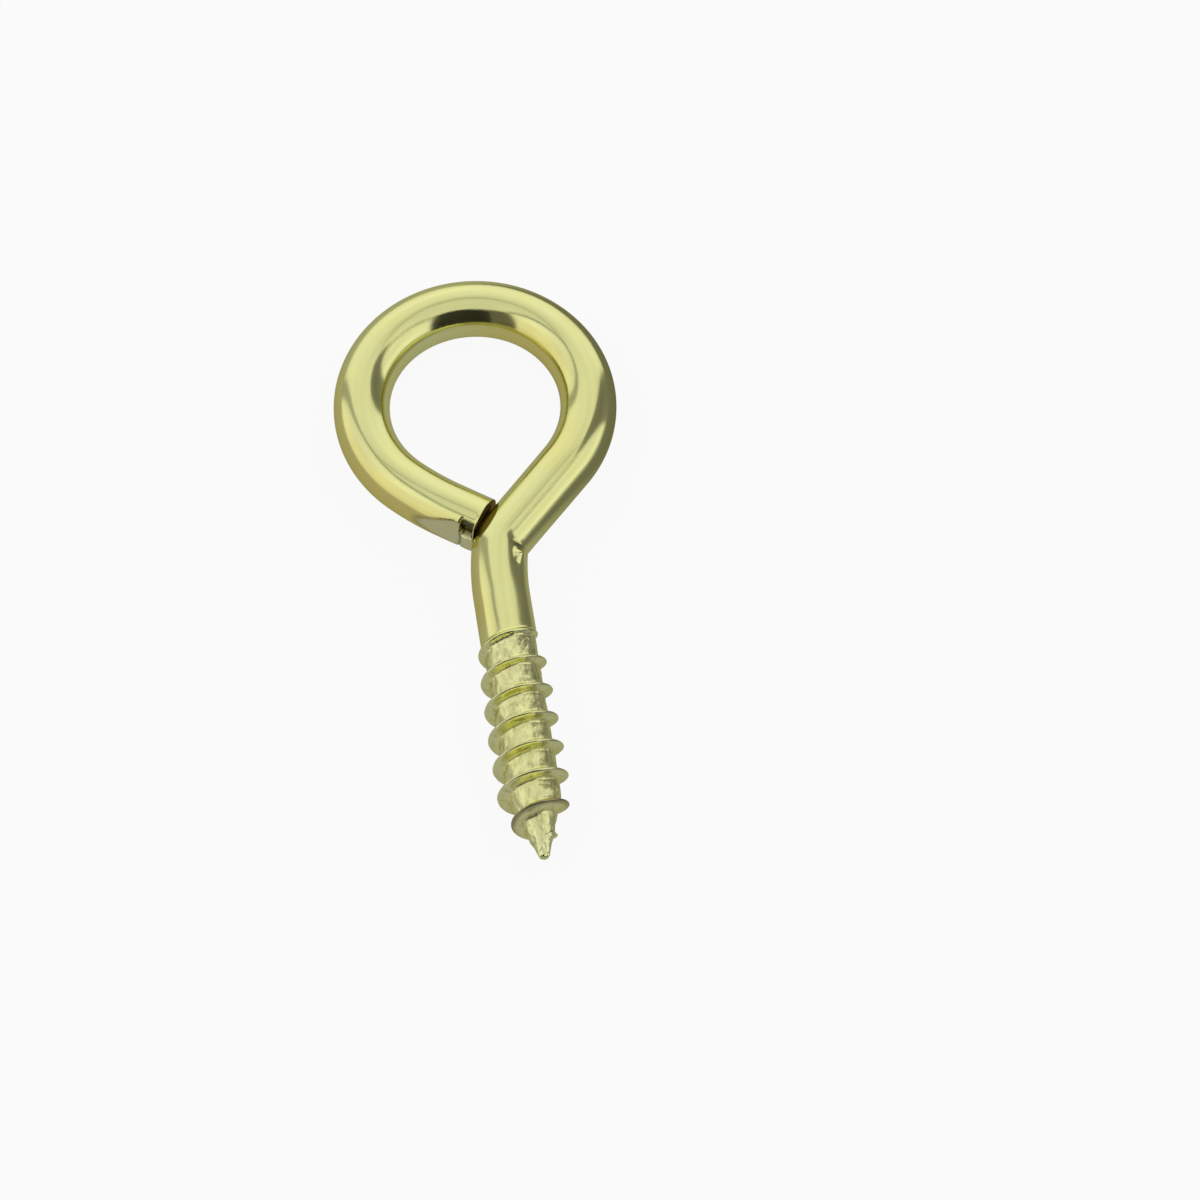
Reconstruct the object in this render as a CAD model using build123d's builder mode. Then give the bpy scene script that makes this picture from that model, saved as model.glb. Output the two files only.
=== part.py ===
from build123d import *
from math import asin, atan2, ceil, cos, degrees, hypot, pi, radians, sin, sqrt
import os

# Lag eye screw bent from one length of wire: a pointed wood thread is rolled on one end,
# and the other end is bent over at a neck and round into a teardrop eye.
# It lies flat. The shank runs along Y with its point at -Y, and the eye opens along Z.
# All sizes are in millimetres and degrees.

# Wire and eye
wire_diameter = 4.0
eye_inner_diameter = 12.06
eye_offset = 0.33              # the eye's centre stands this far to the right of the shank
slack_radius = 20.3            # the last stretch of the eye opens out to this bend
slack_angle = 11.0
end_gap = 0.2                  # between the cut end of the wire and the neck

# Shank and neck
plain_length = 2.45            # smooth straight shank above the thread
lean_radius = 17.5             # above it the shank leans over gently
lean_angle = 12.0
neck_radius = 2.3              # then the neck bends sharply
neck_angle = 33.2

# Lag thread
thread_length = 18.0           # from the smooth shank to the tip
rolling_depth = 0.14           # the root of the thread lies this far below the wire
ridge_height = 0.72            # from the root to the crest
pitch = 2.22
ridge_base_width = 1.1         # its flanks run straight from here to a sharp crest
shoulder_length = 0.5          # the wire tapers down to the root over this length
growth_length = 6.0            # the ridge rises to its full height over this length
start_depth = 0.1              # both ends of the ridge start this far below the surface
foot_share = 0.8               # the foot of the ridge is buried at this share of the core
sections_per_turn = 6
turns_per_loft = 3             # the ridge is lofted in stretches of this many turns

# Gimlet point
point_length = 4.7
nose_diameter = 0.6            # the cone of the point ends in a small flat of this size
ridge_end_setback = 1.1        # from the tip back to the end of the ridge
fade_length = 1.2              # the ridge sinks into the point over this length

# Worked out from the sizes above
wire_radius = wire_diameter / 2
eye_radius = eye_inner_diameter / 2 + wire_radius
root_radius = wire_radius - rolling_depth
nose_radius = nose_diameter / 2
axis_height = root_radius + ridge_height

# The leg is as long as it takes to bring the eye's centre to its offset from the shank
lean = radians(lean_angle)
leg_lean = radians(lean_angle + neck_angle)
bends_across = lean_radius * (1 - cos(lean)) + neck_radius * (cos(lean) - cos(leg_lean))
bends_along = lean_radius * sin(lean) + neck_radius * (sin(leg_lean) - sin(lean))
leg_length = (eye_offset - bends_across + eye_radius * cos(leg_lean)) / sin(leg_lean)
neck_to_eye = bends_along + leg_length * cos(leg_lean) + eye_radius * sin(leg_lean)

# The eye turns until its straight tail points at the foot of the leg
slack = radians(slack_angle)
tail_offset = eye_radius * cos(slack) + slack_radius * (1 - cos(slack))
leg_to_tail = pi + atan2(eye_radius, leg_length)
leg_to_tail += asin(tail_offset / hypot(eye_radius, leg_length))
eye_angle = degrees(leg_to_tail) - slack_angle

# The cut end stops where its two corners clear the leg and the outside of the neck
clear_of_leg = (wire_radius + end_gap - wire_radius * cos(leg_to_tail)) / -sin(leg_to_tail)
neck_reach = neck_radius + wire_radius + end_gap
corner_offset = wire_radius - neck_radius * cos(leg_to_tail)
clear_of_neck = neck_radius * sin(leg_to_tail) + sqrt(neck_reach**2 - corner_offset**2)
end_setback = max(clear_of_leg, clear_of_neck)

# The origin is on the ground under the middle of the screw, with the eye's centre at x = 0
overall_length = thread_length + plain_length + neck_to_eye + eye_radius + wire_radius
shank_x = -eye_offset
tip_y = -overall_length / 2
thread_start_y = tip_y + thread_length
plain_end_y = thread_start_y + plain_length
point_start_y = tip_y + point_length
ridge_start_y = thread_start_y - shoulder_length
ridge_end_y = tip_y + ridge_end_setback
ridge_turns = (ridge_start_y - ridge_end_y) / pitch
flank_slope = ridge_base_width / 2 / ridge_height


def ease(share):
    """Rise from 0 to 1 that starts steeply and ends level."""
    return 1 - (1 - min(max(share, 0), 1)) ** 2


def ridge_section(turn):
    """Sketch the ridge's section in the plane through the shank's axis, this many turns up."""
    y = ridge_end_y + pitch * turn
    core = nose_radius + (root_radius - nose_radius) * min((y - tip_y) / point_length, 1)
    rise = ease((ridge_start_y - y) / growth_length) * ease((y - ridge_end_y) / fade_length)
    crest = core - start_depth * (1 - rise) + ridge_height * rise
    foot = core * foot_share
    half_foot = (crest - foot) * flank_slope
    angle = pi / 2 - 2 * pi * turn
    plane = Plane(
        origin=(shank_x, y, axis_height),
        x_dir=(cos(angle), 0, sin(angle)),
        z_dir=(-sin(angle), 0, cos(angle)),
    )
    with BuildSketch(plane) as section:
        with BuildLine():
            Polyline((foot, -half_foot), (crest, 0), (foot, half_foot), close=True)
        make_face()
    return section.sketch


with BuildPart() as eye_screw:
    # The rolled core from the tip up to the smooth shank
    with BuildSketch(Plane.XY.offset(axis_height)):
        with BuildLine():
            Polyline(
                (shank_x, tip_y),
                (shank_x, thread_start_y),
                (shank_x + wire_radius, thread_start_y),
                (shank_x + root_radius, ridge_start_y),
                (shank_x + root_radius, point_start_y),
                (shank_x + nose_radius, tip_y),
                close=True,
            )
        make_face()
    revolve(axis=Axis((shank_x, 0, axis_height), (0, 1, 0)))

    # The sharp ridge of the thread, lofted up from the point a few turns at a time.
    # A remainder of only a few sections joins the stretch before it.
    stations = ceil(ridge_turns * sections_per_turn)
    sections = [ridge_section(ridge_turns * k / stations) for k in range(stations + 1)]
    first = 0
    while first < stations:
        last = first + turns_per_loft * sections_per_turn
        if stations - last < 3:
            last = stations
        loft(sections[first : last + 1])
        first = last

    # The wire from the top of the thread, over the neck and round the eye to its cut end
    with BuildLine(Plane.XY.offset(axis_height)):
        plain = Line((shank_x, thread_start_y), (shank_x, plain_end_y))
        leaning = JernArc(plain @ 1, plain % 1, lean_radius, -lean_angle)
        neck = JernArc(leaning @ 1, leaning % 1, neck_radius, -neck_angle)
        leg = PolarLine(neck @ 1, leg_length, direction=neck % 1)
        eye = JernArc(leg @ 1, leg % 1, eye_radius, eye_angle)
        opening = JernArc(eye @ 1, eye % 1, slack_radius, slack_angle)
        tail_length = (leg @ 0 - opening @ 1).length - end_setback
        PolarLine(opening @ 1, tail_length, direction=opening % 1)
    # The section's seam faces the inside of the eye, where it is shortest.
    with BuildSketch(Plane(origin=plain @ 0, x_dir=(-1, 0, 0), z_dir=plain % 0)):
        Circle(wire_radius)
    sweep()

eye_screw.part.label = "eye_screw"
os.makedirs("parts", exist_ok=True)
export_step(eye_screw.part, "parts/eye_screw.step")
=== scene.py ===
from math import asin, atan2, cos, hypot, pi, radians, sin

import bpy
import numpy as np
from mathutils import Matrix, Vector, noise


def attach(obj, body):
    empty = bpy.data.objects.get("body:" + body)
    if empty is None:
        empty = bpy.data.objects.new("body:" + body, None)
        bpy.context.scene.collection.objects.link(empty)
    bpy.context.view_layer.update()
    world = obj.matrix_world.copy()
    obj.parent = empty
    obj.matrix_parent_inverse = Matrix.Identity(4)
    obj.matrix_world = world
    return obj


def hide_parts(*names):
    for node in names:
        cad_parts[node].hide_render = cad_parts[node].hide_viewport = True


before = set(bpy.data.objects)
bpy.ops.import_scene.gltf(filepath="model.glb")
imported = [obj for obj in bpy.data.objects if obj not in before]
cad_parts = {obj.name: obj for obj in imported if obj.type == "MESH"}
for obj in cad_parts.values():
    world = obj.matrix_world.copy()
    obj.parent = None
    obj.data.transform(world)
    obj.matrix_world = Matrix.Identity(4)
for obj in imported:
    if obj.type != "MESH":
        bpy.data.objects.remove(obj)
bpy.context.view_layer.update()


# The wire. A length of 4 mm steel wire is bent cold: a short straight shank, a gentle lean,
# a sharp neck, the leg, the round eye, and a straight tail that ends against the neck.
# Sizes are in millimetres and degrees, and the wire lies flat with its point at -Y.
wire_radius = 2.0
eye_radius = 8.03
axis_height = 2.58
shank_x = -0.33
tip_y = -22.956
thread_start_y = tip_y + 18.0
plain_length, tail_length = 2.45, 2.56
lean_radius, lean_angle = 17.5, 12.0
neck_radius, neck_angle = 2.3, 33.2
slack_radius, slack_angle = 20.3, 11.0
columns = 120

# The leg is as long as it takes to bring the eye's centre to x = 0, and the tail points at its foot
lean, leg_lean = radians(lean_angle), radians(lean_angle + neck_angle)
across = lean_radius * (1 - cos(lean)) + neck_radius * (cos(lean) - cos(leg_lean))
leg_length = (-shank_x - across + eye_radius * cos(leg_lean)) / sin(leg_lean)
slack = radians(slack_angle)
tail_offset = eye_radius * cos(slack) + slack_radius * (1 - cos(slack))
leg_to_tail = pi + atan2(eye_radius, leg_length)
leg_to_tail += asin(tail_offset / hypot(eye_radius, leg_length))
eye_angle = np.degrees(leg_to_tail) - slack_angle

# Each run is its length or bend radius, how far it turns to the right, and its rings' spacing
wire_runs = [
    (plain_length, 0, 0.25),
    (lean_radius, lean_angle, 0.12),
    (neck_radius, neck_angle, 0.08),
    (leg_length, 0, 0.25),
    (eye_radius, -eye_angle, 0.3),
    (slack_radius, -slack_angle, 0.25),
    (tail_length, 0, 0.07),
]
neck_run, tail_run = 2, 6


def walk_wire():
    """Rings along the wire: x, y, heading to the right of +Y, and distance; and the runs' ends."""
    x, y, heading, distance = shank_x, thread_start_y, 0.0, 0.0
    rings, run_ends = [(x, y, heading, distance)], []
    for size, turn, spacing in wire_runs:
        length = size if turn == 0 else size * radians(abs(turn))
        count = int(np.ceil(length / spacing))
        bend = radians(turn) / count
        reach = length / count if turn == 0 else 2 * size * sin(abs(bend) / 2)
        for _ in range(count):
            x += reach * sin(heading + bend / 2)
            y += reach * cos(heading + bend / 2)
            heading += bend
            distance += length / count
            rings.append((x, y, heading, distance))
        run_ends.append(distance)
    return rings, run_ends


def bump(value, centre, width):
    """A smooth hill of height 1 round a centre."""
    return np.exp(-(((value - centre) / width) ** 2))


def plateau(value, low, high, soft):
    """1 between two edges, and 0 outside them, with soft shoulders."""
    rise = np.clip((value - low) / soft + 0.5, 0, 1)
    fall = np.clip((high - value) / soft + 0.5, 0, 1)
    both = np.minimum(rise, fall)
    return both * both * (3 - 2 * both)


rings, run_ends = walk_wire()
wire_end = run_ends[tail_run]
neck_start = run_ends[neck_run - 1]
# Angles round the wire start on its right, the outer side of the eye, and go up over its top
around = np.arange(columns) * 2 * pi / columns
side_angle = (around + pi) % (2 * pi) - pi
points, wire_places, marks, faces = [], [], [], []
mark_names = ("rolled", "crest", "pressed", "edge", "pit", "cut", "worn", "foot", "amber")
no_marks = dict.fromkeys(mark_names, 0.0)

# The press flattens the tail from flat_start before its end, and fully from flat_full before it
flat_start, flat_full = 4.7, 1.6
press_depth = 0.42
press_side = radians(11)
# How far the other marks of bending and cropping stand in or out
unevenness = 0.02
crease_depth = 0.06
swelling_height = 0.3
notch_depth = 0.5
groove_depth = 0.1
nub_height = 0.1
rim_height = 0.04
# The side, to the left and towards the point, whose wire edges get a painted amber reflection
amber_reflection_side = (-0.86, -0.5)


def add_point(place, wire_place, **own_marks):
    """Add a point, with its place on the straight wire and its marks for the material."""
    points.append(place)
    wire_places.append(wire_place)
    marks.append({**no_marks, **own_marks})
    return len(points) - 1


for x, y, heading, distance in rings:
    from_end = wire_end - distance
    below_neck = neck_start - distance
    radius = np.full(columns, wire_radius)
    # The wire isn't perfectly even
    for column, angle in enumerate(around):
        spot = Vector((distance * 0.16, cos(angle) * 0.7, sin(angle) * 0.7))
        radius[column] += unevenness * (noise.noise(spot) - 0.6) * min(distance / 2, 1)
    # The press leaves a flat on the outer side of the tail, deeper towards the end
    flat_depth = press_depth * np.clip((flat_start - from_end) / (flat_start - flat_full), 0, 1) ** 1.5
    facing = np.cos(side_angle - press_side)
    over = facing * radius - (wire_radius - flat_depth)
    pressed = np.clip(over / 0.04, 0, 1) * min(flat_depth / 0.03, 1)
    edge = bump(over, 0.0, 0.035) * (facing > 0) * min(flat_depth / 0.03, 1)
    radius = np.where(over > 0, (wire_radius - flat_depth) / np.maximum(facing, 0.3), radius)
    # The sharp bend squeezes up a crease inside the neck, and a small swelling below it
    crease = bump(distance, neck_start - 0.1, 0.3) * bump(side_angle, radians(48), 0.2)
    swelling = np.interp(np.degrees(side_angle), [14, 22, 40, 46, 60], [0, 0.12, 0.93, 1, 0])
    swelling = swelling * np.interp(below_neck, [0.5, 0.8, 0.95, 1.75, 2.1], [0, 0.93, 1, 0.12, 0])
    radius = radius - crease_depth * crease + swelling_height * swelling
    # The shears tear a notch out of the tail, behind the rim of its end, and leave a nub
    notch = plateau(from_end, 0.16, 1.12, 0.14)
    notch = notch * plateau(side_angle, radians(13), radians(58), radians(9))
    groove = bump(from_end, 1.0, 0.09) * plateau(side_angle, radians(-40), radians(20), 0.3)
    nub = bump(from_end, 0.5, 0.33) * bump(side_angle, radians(-8), 0.25)
    rim = bump(from_end, 0.03, 0.07) * plateau(side_angle, radians(5), radians(110), 0.4)
    radius = radius - notch_depth * notch - groove_depth * groove + nub_height * nub + rim_height * rim
    side = np.array([cos(heading), -sin(heading), 0])
    # A painted amber reflection on the wire's edges that face that side
    facing_amber_reflection = np.cos(around) * (amber_reflection_side[0] * side[0] + amber_reflection_side[1] * side[1])
    amber = np.clip((facing_amber_reflection - 0.35) / 0.5, 0, 1)
    for column, angle in enumerate(around):
        place = np.array([x, y, axis_height]) + radius[column] * cos(angle) * side
        place[2] += radius[column] * sin(angle)
        # The notch, the groove beside it and the neck's crease get a painted shade
        add_point(
            place, (distance, wire_radius * cos(angle), wire_radius * sin(angle)),
            pressed=pressed[column] * (1 - notch[column]), edge=edge[column] * (1 - notch[column]),
            pit=max(notch[column], 0.6 * groove[column], 0.75 * crease[column]), amber=amber[column],
        )
for ring in range(len(rings) - 1):
    for column in range(columns):
        here, after = ring * columns + column, ring * columns + (column + 1) % columns
        faces.append((here, after, after + columns, here + columns))


# The sheared end. The wire is cropped square, with a burr turned up round the rim
# and a dull torn face that lies close against the neck.
end_x, end_y, end_heading = rings[-1][:3]
end_direction = np.array([sin(end_heading), cos(end_heading), 0])
end_centre = np.array([end_x, end_y, axis_height])
last_ring = list(range(len(points) - columns, len(points)))
outermost = [points[index] for index in last_ring]
# Each ring of the torn face is a share of the rim's, and stands out or in by so much
torn_rings = [(0.975, 0.0), (0.9, -0.06), (0.78, -0.04), (0.55, 0.0), (0.28, 0.02)]
for share, out in torn_rings:
    next_ring = [
        add_point(
            end_centre + share * (place - end_centre) + out * end_direction,
            (wire_end, share * wire_radius, 0), cut=1.0,
        )
        for place in outermost
    ]
    for column in range(columns):
        after = (column + 1) % columns
        faces.append((last_ring[column], last_ring[after], next_ring[after], next_ring[column]))
    last_ring = next_ring
end_middle = add_point(end_centre, (wire_end, 0, 0), cut=1.0)
for column in range(columns):
    faces.append((last_ring[column], last_ring[(column + 1) % columns], end_middle))


# The lag thread and gimlet point. Two dies roll the end of the wire between them, which presses
# the root down, crumples it finely, and throws up a coarse right-hand ridge that runs out on
# the cone. The plating is worn brown on the last of its crest.
pitch = 2.22
root_radius = 1.86
ridge_height = 0.71
ridge_start_y = thread_start_y - 0.5
ridge_end_y = tip_y + 1.1
ridge_fade_length = 1.45
point_length = 4.7
nose_radius = 0.3
dome_y = tip_y + 0.34
crumple_height = 0.055
more_near_tip = 0.03
crumple_sink = 0.01

# The ridge's outline over half its width: how far out from its middle, and how high
outline_out = [0, 0.05, 0.1, 0.16, 0.22, 0.29, 0.36, 0.42, 0.5]
outline_high = [1, 0.975, 0.88, 0.69, 0.47, 0.24, 0.09, 0.03, 0.0]
half_rows = [0, 0.045, 0.09, 0.14, 0.19, 0.25, 0.32, 0.39, 0.46, 0.56, 0.69, 0.83, 0.97]
row_phases = sorted([-out for out in half_rows[1:]] + half_rows)
rows_per_turn = len(row_phases)
turns = int(np.ceil((thread_start_y - ridge_end_y) / pitch)) + 3

# The wire is still whole above the ridge's first turn, which starts on the underside
start_angle = pi / 2 - 2 * pi * ((ridge_start_y - ridge_end_y) / pitch % 1)
since_start = (around - start_angle) % (2 * pi)
run_out = 5.2
turns_down = np.interp(since_start, [0, run_out, 2 * pi], [0, run_out / (2 * pi), 0])
whole_above = ridge_start_y - pitch * turns_down

# How high the ridge stands at these distances down from its start
growth_at = [0, 0.4, 1.5, 3.7, 8.0]
growth = [0, 0.33, 0.62, 0.82, 1.0]
thread_index = {}


def smooth(share):
    """Rise smoothly from 0 to 1."""
    share = min(max(share, 0.0), 1.0)
    return share * share * (3 - 2 * share)


def core_radius(y, unrolled):
    """The radius under the ridge: the cone, the root, or the whole wire where it's unrolled."""
    cone = nose_radius + (root_radius - nose_radius) * min((y - tip_y) / point_length, 1)
    return cone + (wire_radius - root_radius) * unrolled


def thread_vertex(row, column):
    """The point of this row and column, which share a helix, clamped to the thread's ends."""
    if column == columns:
        row, column = row - rows_per_turn, 0
    turn, phase = divmod(row, rows_per_turn)
    angle = around[column]
    y = ridge_end_y + pitch * (turn - 2 + (pi / 2 - angle) / (2 * pi)) + row_phases[phase]
    y = min(max(y, dome_y), thread_start_y)
    if y == thread_start_y:
        return column
    key = (column, round(y, 6))
    if key not in thread_index:
        rise = np.interp(ridge_start_y - y, growth_at, growth)
        rise *= smooth((y - ridge_end_y) / ridge_fade_length)
        out = (y - ridge_end_y - pitch * (pi / 2 - angle) / (2 * pi) + pitch / 2) % pitch - pitch / 2
        high = np.interp(abs(out) / (0.5 + 0.5 * rise), outline_out, outline_high)
        unrolled = smooth((y - whole_above[column] + 0.14) / 0.28)
        radius = core_radius(y, unrolled)
        radius += max(ridge_height * rise - (wire_radius - root_radius) * unrolled, 0) * high
        rolled = 1 - unrolled
        spot = Vector((radius * cos(angle), 0.55 * y, radius * sin(angle)))
        crumple = noise.noise(spot * 1.7) + 0.7 * noise.noise(spot * 4.0)
        near_tip = smooth((tip_y + 3.2 - y) / 2.0) * smooth((y - tip_y) / 0.5)
        crumple *= (crumple_height + more_near_tip * near_tip) * (1 - 0.75 * high)
        radius += rolled * (crumple - crumple_sink)
        last_turn = smooth((tip_y + 4.4 - y) / 1.0) * smooth((y - tip_y - 2.3) / 0.5)
        # The thread's left side gets a painted amber reflection
        thread_index[key] = add_point(
            (shank_x + radius * cos(angle), y, axis_height + radius * sin(angle)),
            (y - thread_start_y, radius * cos(angle), radius * sin(angle)),
            rolled=rolled, crest=high * min(rise * 1.5, 1), foot=bump(high, 0.12, 0.16) * rise,
            worn=last_turn * smooth((high - 0.5) / 0.4), amber=min(max(-0.8 * cos(angle) - 0.2, 0), 0.6),
        )
    return thread_index[key]


for row in range(rows_per_turn, turns * rows_per_turn):
    for column in range(columns):
        loop = [
            thread_vertex(row, column), thread_vertex(row, column + 1),
            thread_vertex(row + 1, column + 1), thread_vertex(row + 1, column),
        ]
        corners = [index for place, index in enumerate(loop) if index != loop[place - 1]]
        if len(set(corners)) >= 3:
            faces.append(tuple(corners))

# The rounded nose closes the cone
dome_rings = 7
last_ring = [thread_index[(column, round(dome_y, 6))] for column in range(columns)]
dome_radii = [hypot(points[index][0] - shank_x, points[index][2] - axis_height) for index in last_ring]
for ring in range(1, dome_rings):
    tilt = pi / 2 * ring / dome_rings
    y = dome_y - (dome_y - tip_y) * sin(tilt)
    next_ring = []
    for angle, dome_radius in zip(around, dome_radii):
        out, height = dome_radius * cos(tilt) * cos(angle), dome_radius * cos(tilt) * sin(angle)
        place = (shank_x + out, y, axis_height + height)
        next_ring.append(add_point(place, (y - thread_start_y, out, height), rolled=1.0))
    for column in range(columns):
        after = (column + 1) % columns
        faces.append((next_ring[column], next_ring[after], last_ring[after], last_ring[column]))
    last_ring = next_ring
nose_end = add_point((shank_x, tip_y, axis_height), (tip_y - thread_start_y, 0, 0), rolled=1.0)
for column in range(columns):
    faces.append((nose_end, last_ring[(column + 1) % columns], last_ring[column]))

mesh = bpy.data.meshes.new("screw_eye")
mesh.from_pydata([tuple(0.001 * value for value in place) for place in points], [], faces)
mesh.validate()
mesh.polygons.foreach_set("use_smooth", [True] * len(mesh.polygons))
for label in mark_names:
    layer = mesh.attributes.new(label, "FLOAT", "POINT")
    layer.data.foreach_set("value", [float(mark[label]) for mark in marks])
layer = mesh.attributes.new("wire_space", "FLOAT_VECTOR", "POINT")
layer.data.foreach_set("vector", np.array(wire_places, dtype=float).ravel())
mesh.update()
screw_eye = bpy.data.objects.new("screw_eye", mesh)
bpy.context.collection.objects.link(screw_eye)

plated = bpy.data.materials.new("brass_plating")
plated.use_nodes = True
nodes, links = plated.node_tree.nodes, plated.node_tree.links
shader = nodes["Principled BSDF"]
shader.inputs["Metallic"].default_value = 1.0
shader.inputs["Specular Tint"].default_value = (0.85, 0.82, 0.55, 1)


def node(kind, **settings):
    """A new node of the material or world that is being made."""
    made = nodes.new(kind)
    for name, value in settings.items():
        setattr(made, name, value)
    return made


def maths(operation, first, second=0.0, third=0.0):
    """The result of one sum, whose parts are numbers or sockets."""
    made = node("ShaderNodeMath", operation=operation)
    for socket, value in zip(made.inputs, (first, second, third)):
        if isinstance(value, (int, float)):
            socket.default_value = value
        else:
            links.new(value, socket)
    return made.outputs[0]


def attribute(name, output="Fac"):
    """What the mesh's points say under this name."""
    return node("ShaderNodeAttribute", attribute_name=name).outputs[output]


def speckle(vector, scale, detail=3.0, rough=0.6):
    """Soft random spots from 0 to 1."""
    made = node("ShaderNodeTexNoise")
    made.inputs["Scale"].default_value = scale
    made.inputs["Detail"].default_value = detail
    made.inputs["Roughness"].default_value = rough
    links.new(vector, made.inputs["Vector"])
    return made.outputs["Fac"]


def blend_colour(factor, first, second):
    """Go from the first colour to the second as the factor goes from 0 to 1."""
    made = node("ShaderNodeMix", data_type="RGBA")
    sockets = [made.inputs[0], made.inputs[6], made.inputs[7]]
    for socket, value in zip(sockets, (factor, first, second)):
        if isinstance(value, tuple):
            socket.default_value = (*value, 1)
        elif isinstance(value, (int, float)):
            socket.default_value = value
        else:
            links.new(value, socket)
    return made.outputs[2]


# Streaks along the wire, clouds, and the fine crumple of the rolled root, deepest off its crest,
# whose valleys get a painted shade
here = node("ShaderNodeTexCoord").outputs["Object"]
rolled, crest = attribute("rolled"), attribute("crest")
stretch = node("ShaderNodeMapping")
stretch.inputs["Scale"].default_value = (0.1, 1.0, 1.0)
links.new(attribute("wire_space", "Vector"), stretch.inputs["Vector"])
drawn = speckle(stretch.outputs["Vector"], 7.0, 4.0)
cloudy = speckle(here, 230.0, 2.0)
grain = node("ShaderNodeMapping")
grain.inputs["Scale"].default_value = (2400.0, 1250.0, 2400.0)
links.new(here, grain.inputs["Vector"])
crumple = speckle(grain.outputs["Vector"], 1.0, 4.0, 0.6)
valley_shade = maths("MULTIPLY", maths("MULTIPLY_ADD", crumple, -6.5, 3.3), rolled)
valley_shade = maths("MULTIPLY", valley_shade, maths("MULTIPLY_ADD", crest, -0.8, 1.0))
valley_shade.node.use_clamp = True

# Pale lemon plating with amber clouds, and a painted amber reflection on one side of the wire and
# on the thread's left. The root is paler, its crumpled valleys and the notch, groove and neck crease
# get painted shade, the foot of the ridge a painted yellow highlight, and the press's marks, the worn
# crest and the bare cut end have colours of their own.
tone = blend_colour(cloudy, (0.81, 0.79, 0.31), (0.78, 0.80, 0.39))
amber = maths("MULTIPLY_ADD", speckle(here, 95.0, 3.0, 0.7), 4.0, -2.1)
amber.node.use_clamp = True
# The mark adds a painted amber reflection on top of the amber clouds
amber = maths("MAXIMUM", maths("MULTIPLY", amber, 0.4), maths("MULTIPLY", attribute("amber"), 0.75))
tints = [
    (amber, 1.0, (0.82, 0.69, 0.20)),
    (rolled, 0.7, (0.86, 0.87, 0.48)),
    # A painted yellow highlight along the foot of the ridge
    (attribute("foot"), 0.9, (0.95, 0.91, 0.40)),
    # Painted shade in the root's crumpled valleys
    (valley_shade, 0.5, (0.36, 0.37, 0.13)),
    (attribute("pressed"), 0.6, (0.74, 0.77, 0.54)),
    (attribute("edge"), 0.6, (0.28, 0.22, 0.07)),
    (attribute("worn"), 0.75, (0.24, 0.18, 0.11)),
    # Painted shade in the notch, the groove and the neck's crease
    (attribute("pit"), 1.0, (0.10, 0.105, 0.05)),
    (attribute("cut"), 1.0, (0.27, 0.19, 0.06)),
]
for where, strength, colour in tints:
    tone = blend_colour(maths("MULTIPLY", where, strength), tone, colour)
links.new(tone, shader.inputs["Base Color"])

# The drawn wire shines in streaks, and is duller along the foot of the ridge and where it's marked
roughness = maths("MULTIPLY_ADD", drawn, 0.12, 0.08)
for label, more in (("foot", 0.26), ("pressed", 0.14), ("cut", 0.3)):
    roughness = maths("MULTIPLY_ADD", attribute(label), more, roughness)
links.new(roughness, shader.inputs["Roughness"])
relief = maths("MULTIPLY", crumple, maths("MULTIPLY", rolled, maths("MULTIPLY_ADD", crest, -0.8, 1.0)))
relief = maths("MULTIPLY_ADD", drawn, 0.05, relief)
bumps = node("ShaderNodeBump")
bumps.inputs["Strength"].default_value = 0.8
bumps.inputs["Distance"].default_value = 0.00009
links.new(relief, bumps.inputs["Height"])
links.new(bumps.outputs["Normal"], shader.inputs["Normal"])

mesh.materials.append(plated)
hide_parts("eye_screw")
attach(screw_eye, "root")


# The floor is a plain white sheet. Its lit paper is mixed with plain white where the camera
# looks at it, and less so where the metal mirrors it, so that it keeps the screw's shadow.
sheet_width = 6.0
bpy.ops.mesh.primitive_plane_add(size=sheet_width)
floor = bpy.context.object
floor.name = "floor"
paper = bpy.data.materials.new("white_sheet")
paper.use_nodes = True
nodes, links = paper.node_tree.nodes, paper.node_tree.links
paper_shader = nodes["Principled BSDF"]
paper_shader.inputs["Base Color"].default_value = (0.8, 0.8, 0.8, 1)
paper_shader.inputs["Roughness"].default_value = 0.9
paper_shader.inputs["Specular IOR Level"].default_value = 0.0
ray_kind = node("ShaderNodeLightPath").outputs
mirrored = maths("MAXIMUM", ray_kind["Is Glossy Ray"], ray_kind["Is Transmission Ray"])
looked_at = maths("MAXIMUM", ray_kind["Is Camera Ray"], mirrored)
whitened = maths("MULTIPLY", looked_at, 0.92)
white_light = node("ShaderNodeEmission")
# The mirrored sheet is darker on the right of the screw than on the left
sheet_parts = node("ShaderNodeSeparateXYZ")
links.new(node("ShaderNodeTexCoord").outputs["Object"], sheet_parts.inputs[0])
shaded = node("ShaderNodeMapRange", interpolation_type="SMOOTHSTEP")
links.new(sheet_parts.outputs["X"], shaded.inputs["Value"])
for label, value in (("From Min", 0.002), ("From Max", 0.013), ("To Min", 0.45), ("To Max", 0.16)):
    shaded.inputs[label].default_value = value
seen_white = maths("MAXIMUM", ray_kind["Is Camera Ray"], shaded.outputs["Result"])
links.new(seen_white, white_light.inputs["Strength"])
paper_mix = node("ShaderNodeMixShader")
links.new(whitened, paper_mix.inputs[0])
links.new(paper_shader.outputs[0], paper_mix.inputs[1])
links.new(white_light.outputs[0], paper_mix.inputs[2])
links.new(paper_mix.outputs[0], nodes["Material Output"].inputs["Surface"])
floor.data.materials.append(paper)


# The light is that of a white light tent, all soft walls and roof and no lamps. Its front is
# open and dark, there is a gap at the right rear corner, and the walls meet in darker seams.

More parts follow.
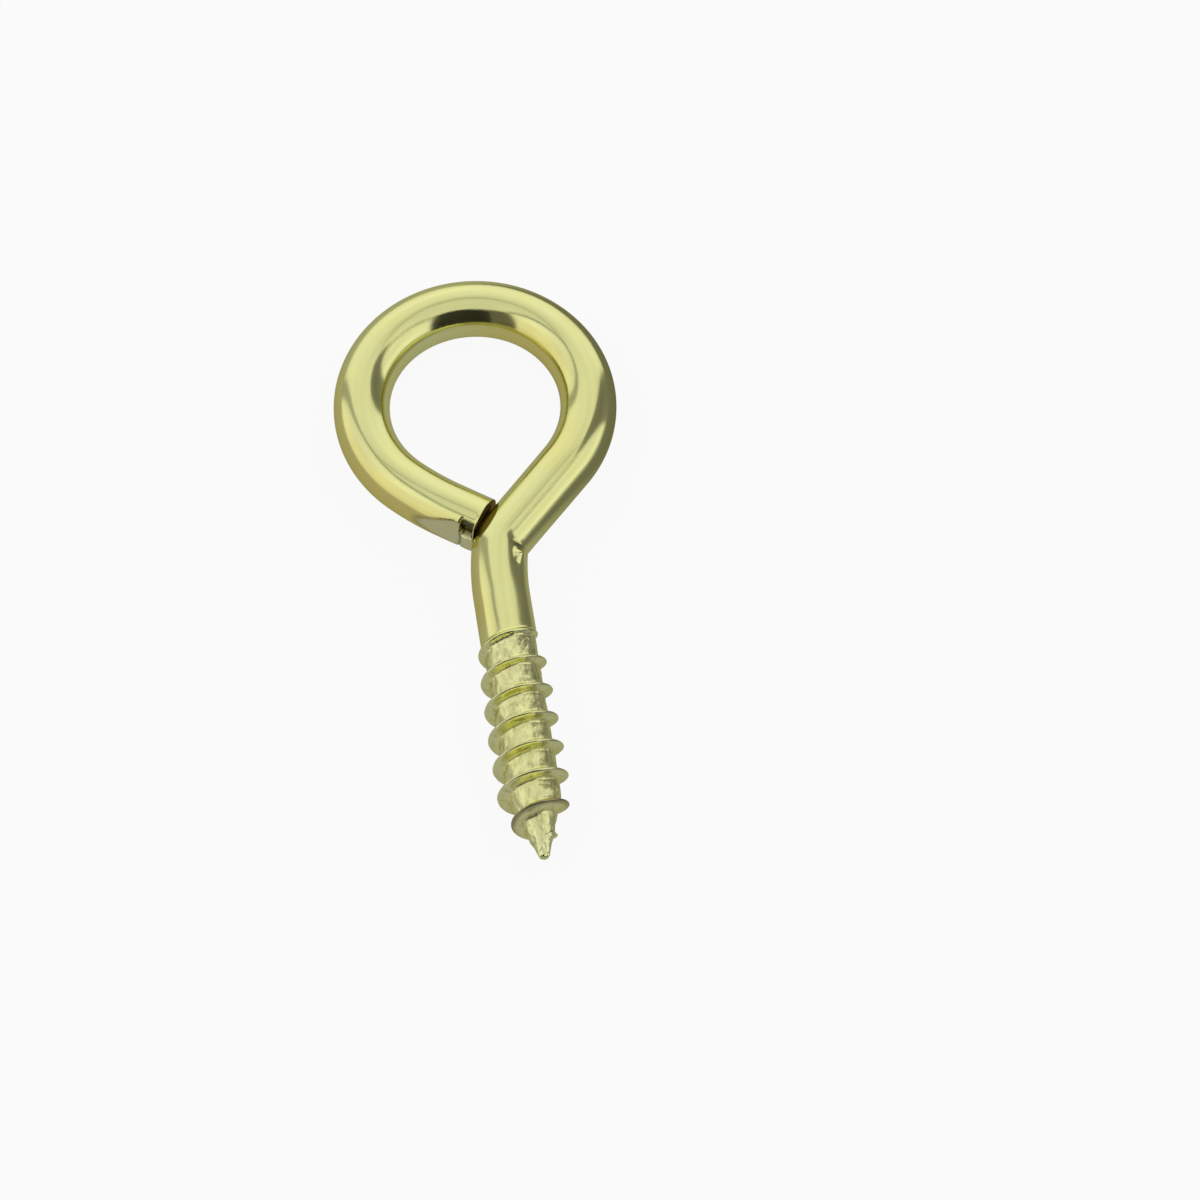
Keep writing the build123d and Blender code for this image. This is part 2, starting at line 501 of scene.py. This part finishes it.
# Each patch is (bearing, half width, low, high, softness, brightness), in degrees, and measured
# as from inside a box: bearings go clockwise from +Y, and heights are those on a flat wall.
tent_patches = [
    (176, 30, 2, 60, 3, 0.03),
    (217.5, 11.5, 2, 60, 3, 0.14),
    (70, 13, -8, 60, 4, 0.22),
    (-48, 4.5, -4, 62, 3, 0.42),
    (-90, 42, 64.5, 69, 2.5, 0.28),
    (5, 55, 72.5, 76.5, 2.5, 0.62),
    (115, 32, 52, 54.5, 1.5, 0.3),
    (115, 32, 58, 60.5, 1.5, 0.35),
    (115, 31, -10, 9, 7, 0.45),
    (-90, 41, -10, 3, 6, 0.55),
    (5, 52, -10, 4, 10, 0.8),
]
world = bpy.data.worlds.new("light_tent")
bpy.context.scene.world = world
world.use_nodes = True
nodes, links = world.node_tree.nodes, world.node_tree.links


def soft_step(value, start, end):
    """Rise smoothly from 0 at start to 1 at end."""
    made = node("ShaderNodeMapRange", interpolation_type="SMOOTHSTEP")
    made.inputs["From Min"].default_value = start
    made.inputs["From Max"].default_value = end
    links.new(value, made.inputs["Value"])
    return made.outputs["Result"]


# The walls are a little uneven in brightness, and the roof is dimmer than they are
direction = node("ShaderNodeTexCoord").outputs["Generated"]
brightness = maths("MULTIPLY_ADD", speckle(direction, 1.6, 1.0), 0.5, 0.67)
wall_views = {}
for bearing, half_width, low, high, soft, shade in tent_patches:
    if bearing not in wall_views:
        facing_wall = node("ShaderNodeVectorRotate", rotation_type="Z_AXIS")
        facing_wall.inputs["Angle"].default_value = radians(bearing)
        links.new(direction, facing_wall.inputs["Vector"])
        parts = node("ShaderNodeSeparateXYZ")
        links.new(facing_wall.outputs[0], parts.inputs[0])
        sideways = maths("ABSOLUTE", maths("ARCTAN2", parts.outputs["X"], parts.outputs["Y"]))
        wall_views[bearing] = (sideways, maths("ARCTAN2", parts.outputs["Z"], parts.outputs["Y"]))
    sideways, upward = wall_views[bearing]
    inside = soft_step(sideways, radians(half_width + soft / 2), radians(half_width - soft / 2))
    for edge, way in ((low, 1), (high, -1)):
        step = soft_step(upward, radians(edge - way * soft / 2), radians(edge + way * soft / 2))
        inside = maths("MULTIPLY", inside, step)
    brightness = maths("MULTIPLY", brightness, maths("MULTIPLY_ADD", inside, shade - 1, 1.0))
roof = soft_step(parts.outputs["Z"], sin(radians(58)), sin(radians(70)))
brightness = maths("MULTIPLY", brightness, maths("MULTIPLY_ADD", roof, -0.13, 1.0))
links.new(brightness, nodes["Background"].inputs["Strength"])
nodes["Background"].inputs["Color"].default_value = (1, 1, 1, 1)

# The camera sees the tent plain white, and the paper is lit by it evenly
ray_kind = node("ShaderNodeLightPath").outputs
even_light = node("ShaderNodeBackground")
links.new(maths("MULTIPLY_ADD", ray_kind["Is Camera Ray"], 0.25, 0.75), even_light.inputs["Strength"])
tent_mix = node("ShaderNodeMixShader")
links.new(maths("MAXIMUM", ray_kind["Is Camera Ray"], ray_kind["Is Diffuse Ray"]), tent_mix.inputs[0])
links.new(nodes["Background"].outputs[0], tent_mix.inputs[1])
links.new(even_light.outputs[0], tent_mix.inputs[2])
links.new(tent_mix.outputs[0], nodes["World Output"].inputs["Surface"])
world.cycles.sampling_method = "NONE"


# The camera looks down on the screw from its point, slightly turned, through a long lens.
# Its aim is measured from a spot on the shank's axis, and its lens in the photo's pixels.
camera_height = radians(62.0)
camera_turn = radians(8.66)
camera_distance = 450.0
aim_across, aim_up = 6.626, 1.091
photo_pixels, lens_pixels = 1200, 6466.0
shank_spot = Vector((shank_x, tip_y + 19.0, axis_height))
stand = Vector((
    aim_across,
    aim_up * sin(camera_height) - camera_distance * cos(camera_height),
    aim_up * cos(camera_height) + camera_distance * sin(camera_height),
))
turn = Matrix.Rotation(-camera_turn, 3, "Z")
right = turn @ Vector((1, 0, 0))
up = turn @ Vector((0, sin(camera_height), cos(camera_height)))
back = right.cross(up)
lens = bpy.data.cameras.new("camera")
lens.sensor_width = 36.0
lens.lens = lens_pixels / photo_pixels * lens.sensor_width
lens.clip_start = 0.01
camera = bpy.data.objects.new("camera", lens)
bpy.context.collection.objects.link(camera)
camera_axes = Matrix((right, up, back)).transposed().to_4x4()
camera.matrix_world = Matrix.Translation((turn @ stand + shank_spot) * 0.001) @ camera_axes
bpy.context.scene.camera = camera
bpy.context.scene.view_settings.view_transform = "Standard"
